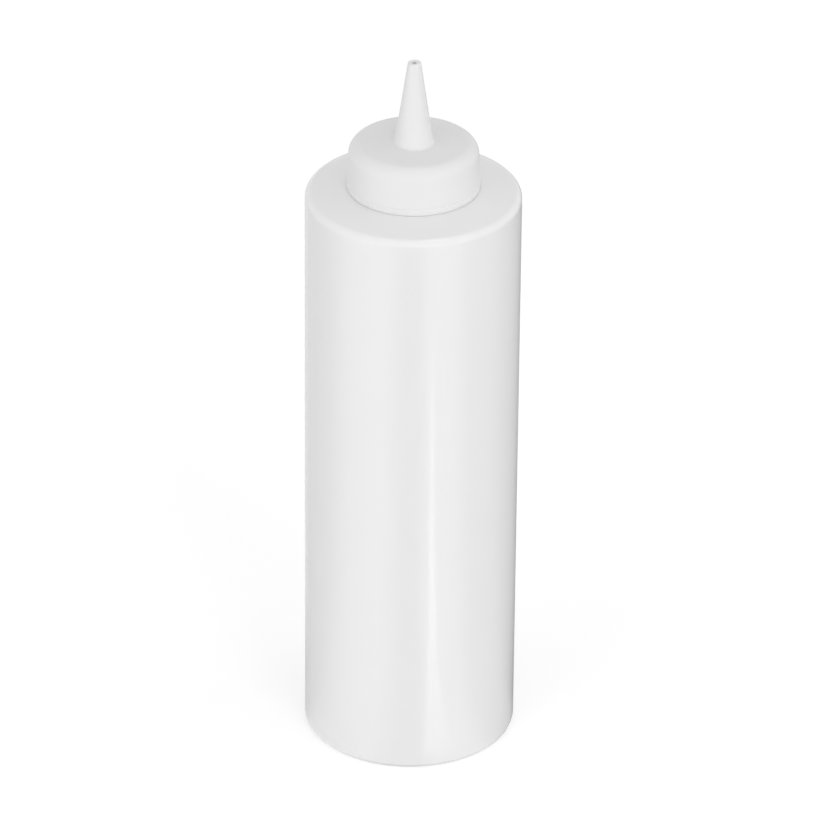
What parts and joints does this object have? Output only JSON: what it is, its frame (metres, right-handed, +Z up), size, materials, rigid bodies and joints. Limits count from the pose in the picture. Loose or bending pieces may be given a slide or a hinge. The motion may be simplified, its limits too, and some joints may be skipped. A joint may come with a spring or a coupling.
{
  "type": "sauce squeeze bottle",
  "caption": "Round white squeeze bottle for sauces with a sloping shoulder and a smooth screw cap that carries a tapered spout.",
  "frame": {"origin": "centre of the bottle's base, on the surface that it stands on", "axes": "+Z up along the bottle's axis to the tip of the spout; X and Y across the round body, with +X to the right and -Y towards the picture's camera"},
  "size_m": [0.07, 0.07, 0.2446],
  "materials": {
    "bottle": "blow-moulded white low-density polyethylene, softly glossy",
    "seal": "white polyethylene foam sheet",
    "cap": "injection-moulded white low-density polyethylene, matt"
  },
  "bodies": {
    "bottle": {"bottle": "bottle"},
    "seal": {"sealing_ring": "seal"},
    "cap": {"spout_cap": "cap"}
  },
  "joints": [
    {"name": "cap_rise", "type": "slide", "parent": "bottle", "child": "seal", "axis": [0, 0, 1], "range_m": [0, 0.0064]},
    {"name": "cap_turn", "type": "hinge", "parent": "seal", "child": "cap", "pos_m": [0, 0, 0.2], "axis": [0, 0, 1], "range_deg": [0, 540]}
  ],
  "couplings": [
    {"joint": "cap_rise", "follows": "cap_turn", "m_per_rad": 0.0006737}
  ]
}
